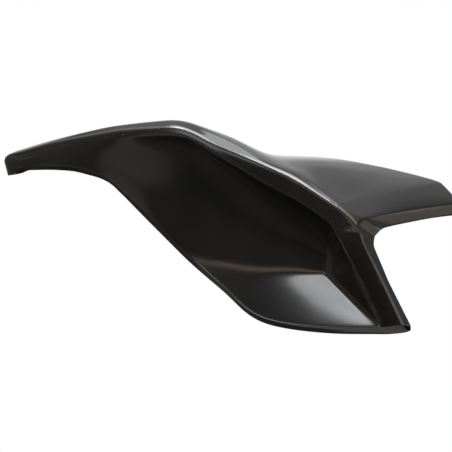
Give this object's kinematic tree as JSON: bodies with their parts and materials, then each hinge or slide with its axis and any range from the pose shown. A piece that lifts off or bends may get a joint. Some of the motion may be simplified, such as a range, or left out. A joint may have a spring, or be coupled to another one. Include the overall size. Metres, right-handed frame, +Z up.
{
  "type": "motorcycle air scoop cover",
  "caption": "Moulded motorcycle air scoop side cover: hooked nose, recessed pocket, notched rear with return flange, hollow back with screw bosses.",
  "frame": {"origin": "middle of the two screw bosses, on their seat plane at the hollow back", "axes": "+X from the nose to the rear, +Y from the outer side inboard and out of the boss holes, +Z up as fitted"},
  "size_m": [0.3895, 0.0653, 0.1634],
  "materials": {
    "moulding": "satin black moulded plastic"
  },
  "bodies": {
    "root": {"scoop_cover": "moulding"}
  },
  "joints": []
}
